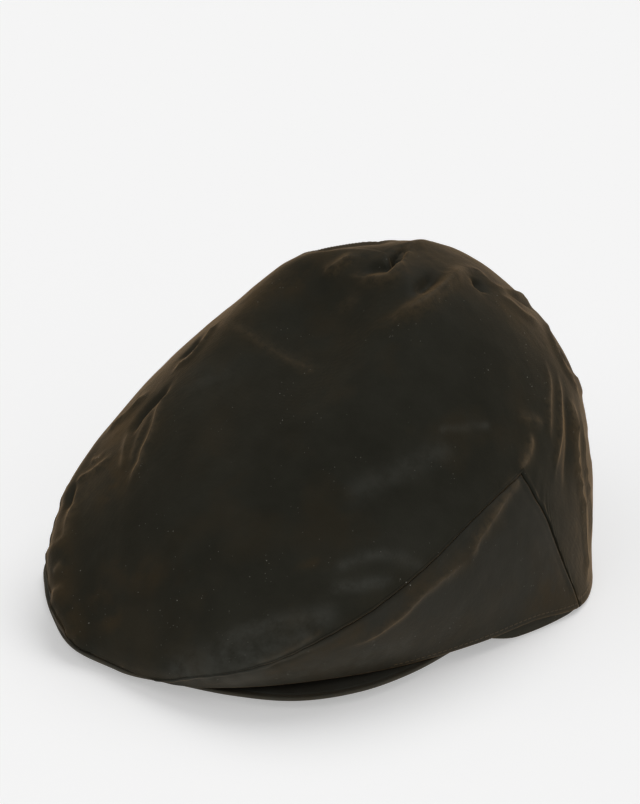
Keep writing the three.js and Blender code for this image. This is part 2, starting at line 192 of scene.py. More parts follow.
# Rings above the bottom edge: half width on each side, front, widest place, back, squareness, heights
RINGS = [
    {"left": 96.7, "right": 84.5, "front": -140.8, "mid": -30.8, "back": 98.3, "square": 2.7,
     "z_front": 8.8, "z_side": 55.9, "z_back": 39.6},
    {"left": 83.6, "right": 84.6, "front": -130.8, "mid": 1.1, "back": 99.4, "square": 2.2,
     "z_front": 26.3, "z_side": 77.2, "z_back": 80.7},
    {"left": 62.4, "right": 62.9, "front": -91.9, "mid": 13.5, "back": 89.6, "square": 1.9,
     "z_front": 69.9, "z_side": 105.1, "z_back": 102.2},
    {"left": 35.1, "right": 34.8, "front": -25.3, "mid": 6.1, "back": 65.6, "square": 1.7,
     "z_front": 108.7, "z_side": 129.4, "z_back": 123.8},
]

# Top seam from the front tip to the apex, then the back seam down to the hem: (deg, level)
TOP_SEAM = [(9, .022), (14, .085), (20, .16), (26, .172), (38, .17), (50, .19), (62, .197), (75, .22),
            (85, .263), (91, .298), (97, .325)]
BACK_SEAM = [(97, .325), (102.5, .268), (106.5, .208), (108.7, .165), (108.8, .11), (107.6, .055), (106, 0)]
TIP_DEG = 9
TIP_TOP_DEG = 24
APEX_TOP_DEG = 94
HEM_TOP_DEG = 124

# Lower edge of the peak's rim about its centre: reach on each side and height
PEAK_RIM = [
    {"deg": 0, "left": 98.8, "right": 98.8, "z": 3.6},
    {"deg": 15, "left": 94.7, "right": 102, "z": 3.9},
    {"deg": 30, "left": 95.7, "right": 100.2, "z": 4.0},
    {"deg": 45, "left": 98.0, "right": 100.9, "z": 4.1},
    {"deg": 60, "left": 95.6, "right": 103.5, "z": 4.0},
    {"deg": 75, "left": 91.4, "right": 97, "z": 3.8},
    {"deg": 90, "left": 88.8, "right": 88.8, "z": 3.6},
    {"deg": 105, "left": 89.8, "right": 89, "z": 3.6},
]

# Folds: line of (deg, level) places, half width, height, share of a sharp top, fade at each end, brown wear.
# A fold of no height is a patch of worn cloth.
FOLDS = [
    {"name": "summit ridge",
     "line": [(-176, .86), (177, .892), (167, .916), (150, .944), (119, .944), (92, .936), (72, .910),
              (60, .903), (38, .918), (2, .930), (-29, .92)],
     "wide": 3.2, "high": 2.5, "sharp": .3, "fade": .26, "wear": .9},
    {"name": "summit pit", "line": [(133, .952), (96, .956), (64, .94), (38, .948)],
     "wide": 2.7, "high": -3.6, "sharp": 0, "fade": .35, "wear": 0},
    {"name": "summit slit",
     "line": [(158, .935), (146, .949), (121, .954), (92, .950), (69.5, .938), (58, .934)],
     "wide": 1.8, "high": -4.0, "sharp": 0, "fade": .3, "wear": 0},
    {"name": "summit valley", "line": [(64, .94), (38, .948), (-7, .948)],
     "wide": 3.4, "high": -1.6, "sharp": 0, "fade": .4, "wear": 0},
    {"name": "far summit ridge",
     "line": [(-45.5, .872), (-46.5, .892), (-48, .912), (-52, .932), (-49, .955)],
     "wide": 3.2, "high": 2.2, "sharp": .3, "fade": .3, "wear": .9},
    {"name": "long ridge",
     "line": [(138.5, .796), (128, .812), (115.5, .812), (102.5, .808), (93, .80), (83, .792), (71, .788),
              (60.5, .784), (49.5, .792)],
     "wide": 3.6, "high": 3.2, "sharp": .22, "fade": .3, "wear": .9},
    {"name": "long valley", "line": [(116, .845), (104, .84), (90, .828), (76, .815)],
     "wide": 3.6, "high": -3.4, "sharp": 0, "fade": .4, "wear": 0},
    {"name": "rear dimple", "line": [(129.5, .775), (124, .758), (119, .742)],
     "wide": 2.8, "high": -3.2, "sharp": .3, "fade": .3, "wear": 0},
    {"name": "rear ridge",
     "line": [(138, .796), (140.5, .776), (133, .752), (131.5, .728), (137, .692), (149.5, .632), (152, .584),
              (152, .56)],
     "wide": 2.4, "high": 1.6, "sharp": .5, "fade": .2, "wear": .8},
    {"name": "rear slit", "line": [(133, .71), (138, .678), (141.5, .644), (149, .58)],
     "wide": 2.2, "high": -1.5, "sharp": .4, "fade": .3, "wear": 0},
    {"name": "rear low ridge", "line": [(127.5, .716), (128.5, .676), (129.5, .628), (137.5, .572)],
     "wide": 3.2, "high": 1.2, "sharp": .3, "fade": .3, "wear": .5},
    {"name": "rear bend",
     "line": [(148.5, .536), (136, .528), (131, .484), (130, .444), (131, .396), (132, .356)],
     "wide": 2.4, "high": 1.4, "sharp": .5, "fade": .2, "wear": .8},
    {"name": "rear bend slit", "line": [(137, .50), (137, .448), (142, .38)],
     "wide": 2.2, "high": -1.3, "sharp": .3, "fade": .35, "wear": 0},
    {"name": "rear upright",
     "line": [(124, .40), (122, .308), (122, .224), (122.5, .16), (121.5, .116), (119, .056), (114, .02)],
     "wide": 2.4, "high": 1.5, "sharp": .5, "fade": .15, "wear": 1},
    {"name": "outer upright", "line": [(128, .36), (126.5, .22), (127, .156), (126, .10), (121, .04)],
     "wide": 2.2, "high": 1.0, "sharp": .4, "fade": .25, "wear": .7},
    {"name": "near upright",
     "line": [(117.5, .524), (114.5, .488), (109.5, .444), (107, .388), (108.5, .348)],
     "wide": 2.2, "high": 1.0, "sharp": .5, "fade": .3, "wear": .6},
    {"name": "second upright",
     "line": [(122, .484), (117.5, .444), (114, .40), (112.5, .352), (111.5, .304), (111.5, .252)],
     "wide": 2.2, "high": 1.2, "sharp": .5, "fade": .25, "wear": .7},
    {"name": "third upright", "line": [(122, .416), (121.5, .392), (121.5, .348), (122, .308)],
     "wide": 2.2, "high": 1.1, "sharp": .5, "fade": .3, "wear": .7},
    {"name": "upright valley", "line": [(118.5, .43), (117.5, .36), (116.8, .27), (116, .18)],
     "wide": 2.8, "high": -1.1, "sharp": 0, "fade": .35, "wear": 0},
    {"name": "apex cross fold", "line": [(93.5, .472), (99.5, .444), (105.5, .412)],
     "wide": 2.8, "high": 1.1, "sharp": .1, "fade": .35, "wear": .6},
    {"name": "apex fold", "line": [(95.8, .335), (96.5, .352), (97.8, .372), (98.5, .396), (98.5, .424)],
     "wide": 2.0, "high": 1.2, "sharp": .5, "fade": .25, "wear": 1},
    {"name": "upper panel crease",
     "line": [(85.5, .168), (86.5, .184), (88, .20), (90.5, .22), (92.5, .248), (94, .28), (95.5, .308),
              (96.3, .325)],
     "wide": 2.2, "high": 1.3, "sharp": .5, "fade": .12, "wear": .75},
    {"name": "panel crease",
     "line": [(52, .130), (58.5, .132), (62.5, .14), (66, .148), (69, .16), (73, .168), (79.5, .172),
              (82, .172), (85.5, .168)],
     "wide": 2.4, "high": 1.3, "sharp": .5, "fade": .25, "wear": .55},
    {"name": "far edge ridge",
     "line": [(-65, .636), (-63, .625), (-59, .62), (-55.5, .605), (-56.5, .576), (-56, .56)],
     "wide": 1.9, "high": 1.3, "sharp": .5, "fade": .2, "wear": .6},
    {"name": "far edge slit", "line": [(-65, .595), (-61.5, .582), (-60.5, .555)],
     "wide": 2.2, "high": -1.4, "sharp": 0, "fade": .35, "wear": 0},
    {"name": "far ridge one",
     "line": [(-48.5, .576), (-45.5, .568), (-43, .564), (-38.5, .56), (-35.5, .552), (-33.5, .54),
              (-30.5, .532), (-29.5, .52), (-26.5, .504)],
     "wide": 2.2, "high": 1.5, "sharp": .5, "fade": .2, "wear": .6},
    {"name": "far ridge two", "line": [(-47, .492), (-42.5, .492), (-38, .492), (-34.5, .492)],
     "wide": 2.0, "high": 1.1, "sharp": .5, "fade": .25, "wear": .6},
    {"name": "far ridge three", "line": [(-54, .515), (-56.5, .484), (-55.5, .465), (-57, .42), (-58, .38)],
     "wide": 2.8, "high": 1.5, "sharp": .3, "fade": .25, "wear": .7},
    {"name": "far ridge four", "line": [(-43.5, .46), (-45, .432), (-47, .396), (-51, .312)],
     "wide": 2.2, "high": 1.5, "sharp": .5, "fade": .2, "wear": .6},
    {"name": "far ridge five", "line": [(-47.5, .432), (-50, .40), (-52.5, .364)],
     "wide": 1.9, "high": .9, "sharp": .5, "fade": .3, "wear": .7},
    {"name": "far ridge six",
     "line": [(-43, .36), (-42.5, .332), (-40.5, .318), (-38, .316), (-37.5, .30), (-40, .256)],
     "wide": 2.2, "high": 1.3, "sharp": .5, "fade": .2, "wear": .6},
    {"name": "far valley", "line": [(-51, .575), (-48.5, .556), (-48.5, .532), (-47, .508), (-43, .50)],
     "wide": 2.2, "high": -1.9, "sharp": 0, "fade": .3, "wear": 0},
    {"name": "far fine ridge", "line": [(-45, .543), (-42, .531), (-39.5, .523), (-36, .515), (-32.5, .508)],
     "wide": 1.5, "high": .6, "sharp": .2, "fade": .3, "wear": .6},
    {"name": "far hollow", "line": [(-51, .315), (-48, .308), (-44.5, .30)],
     "wide": 1.9, "high": -1.8, "sharp": 0, "fade": .35, "wear": 0},
    {"name": "far worn cloth",
     "line": [(-52, .54), (-49, .488), (-46.5, .452), (-46, .412), (-45.5, .36), (-38, .34)],
     "wide": 8, "high": 0, "sharp": 0, "fade": .2, "wear": .5},
    {"name": "far top worn cloth", "line": [(-84, .80), (-68.5, .756), (-62, .72), (-60.5, .65)],
     "wide": 7, "high": 0, "sharp": 0, "fade": .25, "wear": .4},
    {"name": "summit worn cloth",
     "line": [(-60, .90), (-75, .94), (-120, .965), (150, .93), (128, .88), (120, .83)],
     "wide": 8, "high": 0, "sharp": 0, "fade": .2, "wear": .4},
    {"name": "far lip", "line": [(-8, .03), (-14, .085), (-20, .15), (-26, .166), (-31, .168)],
     "wide": 7.5, "high": 2.8, "sharp": 0, "fade": .25, "wear": 0},
    {"name": "far pucker one", "line": [(-32, .30), (-32.5, .265), (-33, .232)],
     "wide": 1.8, "high": .8, "sharp": .3, "fade": .35, "wear": .6},
    {"name": "far pucker two", "line": [(-27, .275), (-28, .24), (-29.5, .20)],
     "wide": 1.8, "high": .8, "sharp": .3, "fade": .35, "wear": .6},
    {"name": "far pucker three", "line": [(-18, .19), (-17, .13), (-16, .07)],
     "wide": 1.8, "high": .6, "sharp": .3, "fade": .35, "wear": .4},
    {"name": "front pucker", "line": [(1, .20), (1.5, .13), (2, .06)],
     "wide": 1.8, "high": .5, "sharp": .3, "fade": .35, "wear": .3},
    {"name": "diagonal crease",
     "line": [(-66.5, .632), (-47, .716), (-32, .748), (-20, .764), (-5.5, .772), (4, .772), (16, .76),
              (22, .752)],
     "wide": 2.0, "high": .5, "sharp": .12, "fade": .15, "wear": .5},
    {"name": "short streak", "line": [(28, .892), (12.5, .88), (4, .856)],
     "wide": 3.0, "high": .5, "sharp": 0, "fade": .4, "wear": .4},
    {"name": "hidden side ridge", "line": [(-124, .45), (-121, .30), (-120, .16), (-115, .04)],
     "wide": 2.6, "high": 1.5, "sharp": .4, "fade": .2, "wear": .8},
    {"name": "hidden side fold", "line": [(-100, .50), (-107, .42), (-109, .30)],
     "wide": 2.6, "high": 1.2, "sharp": .4, "fade": .35, "wear": .6},
    {"name": "hidden panel crease", "line": [(-58, .132), (-68, .152), (-80, .172), (-88, .20), (-94, .28)],
     "wide": 2.4, "high": 1.0, "sharp": .4, "fade": .25, "wear": .8},
    {"name": "rear sag", "line": [(160, .56), (176, .50), (-165, .45)],
     "wide": 9.0, "high": -2.2, "sharp": 0, "fade": .4, "wear": 0},
    {"name": "rear roll", "line": [(150, .42), (168, .385), (-170, .34), (-150, .32)],
     "wide": 4.5, "high": 1.5, "sharp": .3, "fade": .35, "wear": .5},
    {"name": "rear crease", "line": [(-178, .20), (-162, .235), (-145, .24)],
     "wide": 2.6, "high": 1.0, "sharp": .4, "fade": .35, "wear": .6},
    {"name": "rear small crease", "line": [(156, .30), (164, .24), (167, .16)],
     "wide": 2.4, "high": .9, "sharp": .4, "fade": .35, "wear": .6},
    {"name": "hidden top fold", "line": [(-150, .86), (-128, .80), (-105, .76), (-88, .74)],
     "wide": 4.0, "high": 1.8, "sharp": .4, "fade": .35, "wear": .7},
    {"name": "hidden top valley", "line": [(-145, .80), (-122, .74), (-102, .70)],
     "wide": 4.5, "high": -1.5, "sharp": 0, "fade": .4, "wear": 0},
    {"name": "seam tuck", "line": [(33.5, .174), (36.5, .182), (42, .190), (47, .20), (51, .212)],
     "wide": 1.4, "high": -.7, "sharp": 0, "fade": .2, "wear": 0},
    {"name": "seam tuck edge", "line": [(36, .190), (42, .200), (47, .212), (51, .222)],
     "wide": 1.6, "high": .5, "sharp": .2, "fade": .2, "wear": .3},
    {"name": "second seam tuck", "line": [(38, .152), (42, .160), (45, .165), (48, .172)],
     "wide": 1.3, "high": -.8, "sharp": 0, "fade": .2, "wear": 0},
    {"name": "far cheek", "line": [(-41, .155), (-49, .195), (-55, .215)],
     "wide": 10, "high": -1.4, "sharp": 0, "fade": .2, "wear": 0},
    {"name": "summit sag", "line": [(-96, .785), (-110, .815), (-130, .85), (-144, .858)],
     "wide": 12, "high": -2.2, "sharp": 0, "fade": .2, "wear": 0},
    {"name": "rear elbow", "line": [(152, .575), (149, .53), (147, .49)],
     "wide": 7, "high": .6, "sharp": 0, "fade": .3, "wear": 0},
    {"name": "rear bulge", "line": [(141, .39), (140, .36), (139, .33)],
     "wide": 6, "high": 1.2, "sharp": 0, "fade": .3, "wear": 0},
    {"name": "rear waist", "line": [(137, .27), (136, .23), (135, .19)],
     "wide": 7, "high": -.8, "sharp": 0, "fade": .3, "wear": 0},
    {"name": "rear foot", "line": [(134, .14), (132, .09), (129, .05)],
     "wide": 9, "high": .3, "sharp": 0, "fade": .3, "wear": 0},
]

# Painted highlights: lighter patches that stand in for the wax's satin reflections and, low on the left side
# panel's front, for more light; the cloth there is also less rough. Line of (deg, level) places, half width
# and strength
PAINTED_HIGHLIGHTS = [
    {"line": [(52.5, .368), (58, .352), (64, .308), (70, .24)], "wide": 2.6, "strength": .6},
    {"line": [(52.5, .316), (57, .288), (62.5, .256)], "wide": 2.6, "strength": .9},
    {"line": [(30, .30), (35.5, .304), (42, .288), (50, .255)], "wide": 5.5, "strength": .7},
    {"line": [(20, .225), (32, .24), (39.5, .228), (45.5, .228)], "wide": 8, "strength": .8},
    {"line": [(73.5, .524), (79, .504), (84.5, .484)], "wide": 1.5, "strength": .7},
    {"line": [(53.5, .50), (63.5, .492), (73, .484)], "wide": 5, "strength": .45},
    {"line": [(-39, .65), (-30, .69)], "wide": 8, "strength": .3},
    {"line": [(30, .08), (41, .07), (50, .06), (62, .06)], "wide": 7, "strength": .6},
]

# Brown patches where the wax has worn thin
RUST = [
    {"line": [(-55, .45), (-43, .46), (-34, .47)], "wide": 10, "strength": 1},
    {"line": [(-13, .44), (0, .456)], "wide": 9, "strength": .5},
    {"line": [(-13, .36), (-7.5, .328)], "wide": 7, "strength": .7},
    {"line": [(-20, .69), (-2.5, .628)], "wide": 9, "strength": .2},
    {"line": [(43, .416), (46, .414)], "wide": 2.5, "strength": .6},
    {"line": [(-81.5, .87), (-58.5, .81), (-64, .72), (-69, .63)], "wide": 8, "strength": .7},
    {"line": [(-100, .80), (-130, .86), (-176, .88), (160, .72)], "wide": 8, "strength": .6},
    {"line": [(71, .80), (55, .79)], "wide": 5, "strength": .6},
    {"line": [(122, .68), (118, .61)], "wide": 8, "strength": .5},
    {"line": [(68, .175), (76, .187), (84, .175)], "wide": 4.5, "strength": .6},
    {"line": [(56, .165), (46.5, .152), (40, .13)], "wide": 5, "strength": .6},
    {"line": [(96, .04), (103, .06), (104, .02)], "wide": 12, "strength": .65},
    {"line": [(118, .35), (120, .2), (117, .05)], "wide": 9, "strength": .45},
    {"line": [(-118, .40), (-120, .2), (-117, .05)], "wide": 9, "strength": .45},
    {"line": [(-45, .27), (-32, .25), (-18, .17)], "wide": 9, "strength": .8},
]


def table_value(rows, column, deg, mirrored=False):
    """Smooth value of one column of a table with evenly spaced deg rows."""
    values = np.array([row[column] for row in rows], float)
    sign = -1 if mirrored else 1
    padded = np.concatenate([[sign * values[1]], values, [sign * values[-2]]])
    place = np.minimum(np.abs(deg), rows[-1]["deg"]) / (rows[1]["deg"] - rows[0]["deg"])
    i = np.minimum(place.astype(int), len(rows) - 2)
    return spline(*(padded[i + k] for k in range(4)), place - i)


def spline(p0, p1, p2, p3, t):
    """Catmull-Rom curve between p1 and p2."""
    bend = 2 * p0 - 5 * p1 + 4 * p2 - p3
    twist = 3 * p1 - p0 - 3 * p2 + p3
    return p1 + 0.5 * t * (p2 - p0 + t * (bend + t * twist))


def path_place(rows, share):
    """Smooth (deg, level) of a path table at shares of its length."""
    rows = np.array(rows, float)
    padded = np.vstack([2 * rows[0] - rows[1], rows, 2 * rows[-1] - rows[-2]])
    place = np.asarray(share, float) * (len(rows) - 1)
    i = np.clip(place.astype(int), 0, len(rows) - 2)
    found = spline(*(padded[i + k] for k in range(4)), (place - i)[..., None])
    return found[..., 0], found[..., 1]


def hem_point(deg):
    """Bottom edge of the sheet."""
    side = np.where(deg < 0, -1, 1)
    x, y, z = (table_value(HEM_EDGE, column, deg, column == "x") for column in "xyz")
    right_out = np.where(deg < 0, table_value(HEM_EDGE, "right_out", deg), 0)
    further = 1 + right_out / np.hypot(x, y - PEAK_CENTRE_Y)
    return np.stack([side * x * further, PEAK_CENTRE_Y + (y - PEAK_CENTRE_Y) * further, z], -1)


def ring_point(ring, deg):
    """A ring of the sheet: a squarish oval with its own front, back and side heights."""
    s = np.sin(np.radians(deg))
    c = np.cos(np.radians(deg))
    k = (np.abs(s) ** ring["square"] + np.abs(c) ** ring["square"]) ** (-1 / ring["square"])
    x = np.where(s > 0, ring["left"], ring["right"]) * s * k
    reach = np.where(c > 0, ring["front"] - ring["mid"], ring["mid"] - ring["back"])
    end = np.where(c > 0, ring["z_front"], ring["z_back"])
    return np.stack([x, ring["mid"] + reach * c * k, ring["z_side"] + (end - ring["z_side"]) * c * c], -1)


def bare_sheet(deg, level):
    """Points of the sheet without its folds, for arrays of deg and level."""
    deg = (np.asarray(deg, float) + 180) % 360 - 180
    level = np.clip(np.broadcast_to(level, deg.shape), 0, 1)
    hem = hem_point(deg)
    rings = [ring_point(ring, deg) for ring in RINGS]
    pole = np.broadcast_to(np.array(POLE), hem.shape)
    beyond = ring_point(RINGS[-1], np.where(deg > 0, deg - 180, deg + 180))
    points = np.stack([2 * hem - rings[0], hem, *rings, pole, beyond])
    spans = len(RINGS) + 1
    i = np.minimum((level * spans).astype(int), spans - 1)
    t = (level * spans - i)[..., None]
    p0, p1, p2, p3 = (np.take_along_axis(points, (i + k)[None, ..., None], 0)[0] for k in range(4))
    d0, d1, d2 = (np.linalg.norm(b - a, axis=-1, keepdims=True) + 1e-6
                  for a, b in ((p0, p1), (p1, p2), (p2, p3)))
    m1 = ((p1 - p0) * d1 / d0 + (p2 - p1) * d0 / d1) / (d0 + d1) * d1
    m2 = ((p2 - p1) * d2 / d1 + (p3 - p2) * d1 / d2) / (d1 + d2) * d1
    return ((2 * t ** 3 - 3 * t ** 2 + 1) * p1 + (t ** 3 - 2 * t ** 2 + t) * m1
            + (-2 * t ** 3 + 3 * t ** 2) * p2 + (t ** 3 - t ** 2) * m2)


def bare_normal(deg, level):
    """Outward direction of the sheet without its folds."""
    level = np.asarray(level, float)
    up = bare_sheet(deg, np.minimum(level + .006, 1)) - bare_sheet(deg, np.maximum(level - .006, 0))
    around = bare_sheet(deg + .6, level) - bare_sheet(deg - .6, level)
    normal = np.cross(around, up)
    normal[level > .998] = (0, 0, 1)
    return normal / np.maximum(np.linalg.norm(normal, axis=-1, keepdims=True), 1e-9)


def near_line(points, rows, steps=4):
    """Distance of each point from a line on the sheet, its side of the line, and how far along it is."""
    deg, level = path_place(unwrapped(rows), np.linspace(0, 1, (len(rows) - 1) * steps + 1))
    line = bare_sheet(deg, level)
    ups = bare_normal(deg, level)
    lengths = np.linalg.norm(np.diff(line, axis=0), axis=1)
    starts = np.concatenate([[0], np.cumsum(lengths)])
    best = np.full(points.shape[:-1], np.inf)
    side = np.ones(points.shape[:-1])
    share = np.zeros(points.shape[:-1])
    for k, length in enumerate(lengths):
        span = line[k + 1] - line[k]
        away = points - line[k]
        t = np.clip(away @ span / length ** 2, 0, 1)
        gap = np.linalg.norm(away - t[..., None] * span, axis=-1)
        closer = gap < best
        best[closer] = gap[closer]
        side[closer] = np.sign(away[closer] @ np.cross(ups[k], span))
        share[closer] = (starts[k] + t[closer] * length) / starts[-1]
    return best, side, share


def unwrapped(rows):
    """The rows with no jump of deg where a line crosses the middle of the back."""
    found = [rows[0]]
    for deg, level in rows[1:]:
        found.append((found[-1][0] + (deg - found[-1][0] + 180) % 360 - 180, level))
    return found


def fold_relief(points, level):
    """What the folds give to points of the bare sheet.

    Height, broad wear, strength of the tan line on the strongest crest (worn wax, partly a painted ridge
    highlight), and signed distance from it.
    """
    height, wear, line = (np.zeros(points.shape[:-1]) for _ in range(3))
    crest = np.full(points.shape[:-1], NO_CREST)
    for fold in FOLDS:
        gap, side, share = near_line(points, fold["line"])
        ends = np.clip(np.minimum(share, 1 - share) / fold["fade"], 0, 1)
        ends = ends * ends * (3 - 2 * ends)
        round_top = np.exp(-(gap / fold["wide"]) ** 2)
        sharp_top = np.exp(-gap / (.5 * fold["wide"]))
        height += fold["high"] * (.12 + .88 * ends) * (round_top + fold["sharp"] * (sharp_top - round_top))
        broad = np.exp(-(gap / (BROAD_WEAR_REACH * fold["wide"])) ** 2)
        wear += BROAD_WEAR * fold["wear"] * ends * broad
        # Tan crest line: worn wax on the fold top, partly a painted ridge highlight
        worn = min(2.5 * fold["sharp"], 1) * fold["wear"] * ends * np.exp(-(gap / CREST_REACH) ** 2)
        crest = np.where(worn > line, side * gap, crest)
        line = np.maximum(line, worn)
    return height * np.clip(level / .05, 0, 1), wear, line, crest


def patch_relief(points, patches):
    """Strength of the strongest patch at each point."""
    found = np.zeros(points.shape[:-1])
    for patch in patches:
        gap, _, _ = near_line(points, patch["line"])
        found = np.maximum(found, patch["strength"] * np.exp(-(gap / patch["wide"]) ** 2))
    return found


def crinkle(points):
    """Small uneven hills of hand-worn cloth, the same on every run."""
    flat = points.reshape(-1, 3)
    found = [noise.fractal(Vector(p) / CRINKLE_SIZE, 1.0, 2.1, 3) for p in flat]
    return np.array(found).reshape(points.shape[:-1])


def arc_length(grid):
    """Length walked down each column of a grid of points, row by row."""
    steps = np.linalg.norm(np.diff(grid, axis=0), axis=-1)
    return np.concatenate([np.zeros((1, grid.shape[1])), np.cumsum(steps, axis=0)])


def edge_drop(gap):
    """How far a rolled edge has sunk at a distance from it."""
    t = np.clip(1 - gap / EDGE_ROLL, 0, 1)
    return EDGE_ROLL * (1 - np.sqrt(1 - t * t))


def dressed(deg, level, seam_gap, hem_gap, run):
    """Outer and inner points of the cloth with its folds, edges and puckers, and its shader values.

    Wax stays in valleys, so wear fades out there.
    """
    bare = bare_sheet(deg, level)
    normal = bare_normal(deg, level)
    edge_gap = np.minimum(seam_gap, hem_gap)
    folds, wear, line, crest = fold_relief(bare, level)
    wear = wear * np.clip(1 + folds / WAXED_DEPTH, 0, 1)
    pucker = SEAM_PUCKER * np.exp(-seam_gap / PUCKER_REACH) * np.sin(2 * math.pi * run / PUCKER_WAVE)
    fell = FELL_HIGH * np.exp(-((seam_gap - FELL_AT) / FELL_WIDE) ** 2)
    uneven = CRINKLE_HIGH * crinkle(bare) * np.clip(edge_gap / CRINKLE_FROM_EDGE, 0, 1)
    relief = folds + pucker + fell + uneven
    outer = bare + normal * (relief - edge_drop(edge_gap))[..., None]
    inner = bare + normal * (relief - CLOTH_WALL)[..., None]
    hem_wear = HEM_WEAR * np.exp(-(hem_gap / HEM_WEAR_REACH) ** 2)
    layers = {
        "wear": np.clip(wear + hem_wear, 0, 1),
        "line": line,
        "crest": crest,
        "painted_highlight": patch_relief(bare, PAINTED_HIGHLIGHTS),
        "rust": patch_relief(bare, RUST),
        "hem": np.where(np.abs(deg) < STITCH_FROM_DEG, NO_STITCH, hem_gap),
        "seam": seam_gap,
        "run": run,
    }
    return outer, inner, layers


def grid_faces(rows, columns, wraps, capped, offset, flipped):
    """Quads of one layer of a grid whose points are numbered row by row."""
    spans = columns if wraps else columns - 1
    faces = []
    for j in range(rows - 1):
        for i in range(spans):
            n = (i + 1) % columns
            a, b, c, d = (offset + j * columns + i, offset + j * columns + n,
                          offset + (j + 1) * columns + n, offset + (j + 1) * columns + i)
            if capped and j == rows - 2:
                quad = (a, b, offset + (j + 1) * columns)
            else:
                quad = (a, b, c, d)
            faces.append(quad[::-1] if flipped else quad)
    return faces


def dome_object(name, outer, inner, layers):
    """A closed shell from grids whose rows go round and whose last row is one point.

    The inner layer keeps only some of the rows.
    """
    rows, columns = outer.shape[:2]
    kept = [*range(0, rows - 1, INNER_ROW_STEP), rows - 1]
    count = rows * columns
    faces = grid_faces(rows, columns, True, True, 0, False)
    faces += grid_faces(len(kept), columns, True, True, count, True)
    faces += [(i, count + i, count + (i + 1) % columns, (i + 1) % columns) for i in range(columns)]
    points = np.concatenate([outer.reshape(-1, 3), inner[kept].reshape(-1, 3)])
    values = {key: np.concatenate([v.reshape(-1), v[kept].reshape(-1)]) for key, v in layers.items()}
    return mesh_object(name, points, faces, values)


def panel_object(name, outer, inner, layers):
    """A closed shell from an outer and an inner grid with four edges."""
    rows, columns = outer.shape[:2]
    count = rows * columns
    faces = grid_faces(rows, columns, False, False, 0, False)
    faces += grid_faces(rows, columns, False, False, count, True)
    top = (rows - 1) * columns
    for i in range(columns - 1):
        faces.append((i, count + i, count + i + 1, i + 1))
        faces.append((top + i, top + i + 1, count + top + i + 1, count + top + i))
    last = columns - 1
    for j in range(rows - 1):
        a, b = j * columns, (j + 1) * columns
        faces.append((a, b, count + b, count + a))
        faces.append((a + last, count + a + last, count + b + last, b + last))
    points = np.concatenate([outer.reshape(-1, 3), inner.reshape(-1, 3)])
    values = {key: np.concatenate([v.reshape(-1), v.reshape(-1)]) for key, v in layers.items()}
    return mesh_object(name, points, faces, values)


def mesh_object(name, points, faces, layers):
    """A smooth mesh object in metres from points in millimetres, with its loose points taken out."""
    used = np.unique(np.concatenate([np.array(face) for face in faces]))
    number = np.full(len(points), -1)
    number[used] = np.arange(len(used))
    placed = (points[used] + np.array([0, CENTRE_SHIFT_Y, 0])) * MM
    mesh = bpy.data.meshes.new(name)
    mesh.from_pydata(placed.tolist(), [], [tuple(int(number[k]) for k in face) for face in faces])
    for key, values in layers.items():
        mesh.attributes.new(key, "FLOAT", "POINT").data.foreach_set("value", values[used].astype(np.float32))
    mesh.validate()
    mesh.polygons.foreach_set("use_smooth", [True] * len(mesh.polygons))
    mesh.update()
    made = bpy.data.objects.new(name, mesh)
    bpy.context.scene.collection.objects.link(made)
    return made


def top_panel_edge():
    """Columns of the top panel along one side, front to back: deg and level of the edge, deg at the top."""
    hem = np.linspace(0, TIP_DEG, FRONT_HEM_COLUMNS + 1)[:-1]
    seam_share = np.linspace(0, 1, SEAM_COLUMNS + 1)
    back_share = np.linspace(0, 1, BACK_COLUMNS + 1)[1:]
    rear_share = np.linspace(0, 1, REAR_COLUMNS + 1)[1:]
    seam_deg, seam_level = path_place(TOP_SEAM, seam_share)
    back_deg, back_level = path_place(BACK_SEAM, back_share)
    hem_start = BACK_SEAM[-1][0]
    rear_deg = hem_start + (180 - hem_start) * rear_share
    deg = np.concatenate([hem, seam_deg, back_deg, rear_deg])
    level = np.concatenate([0 * hem, seam_level, back_level, 0 * rear_deg])
    top = np.concatenate([hem * TIP_TOP_DEG / TIP_DEG,
                          TIP_TOP_DEG + (APEX_TOP_DEG - TIP_TOP_DEG) * seam_share,
                          APEX_TOP_DEG + (HEM_TOP_DEG - APEX_TOP_DEG) * back_share,
                          HEM_TOP_DEG + (180 - HEM_TOP_DEG) * rear_share])
    on_seam = np.concatenate([hem > 1e9, seam_share >= 0, back_share >= 0, rear_deg > 1e9])
    return deg, level, top, on_seam


def row_shares(length, rows):
    """Shares down each column: close rows beside the edge, then even ones."""
    near = np.array(EDGE_ROWS)[:, None] / length[None, :]
    far = np.linspace(0, 1, rows - len(EDGE_ROWS) + 1)[1:, None]
    return np.concatenate([near, near[-1] + (1 - near[-1]) * far])


def crown_places(share, deg, level, top):
    """Places down the columns of the top panel, which turn from their edge deg to their deg at the top."""
    turn = 1 - (1 - share) ** 3
    return deg + (top - deg) * turn, level + (1 - level) * share


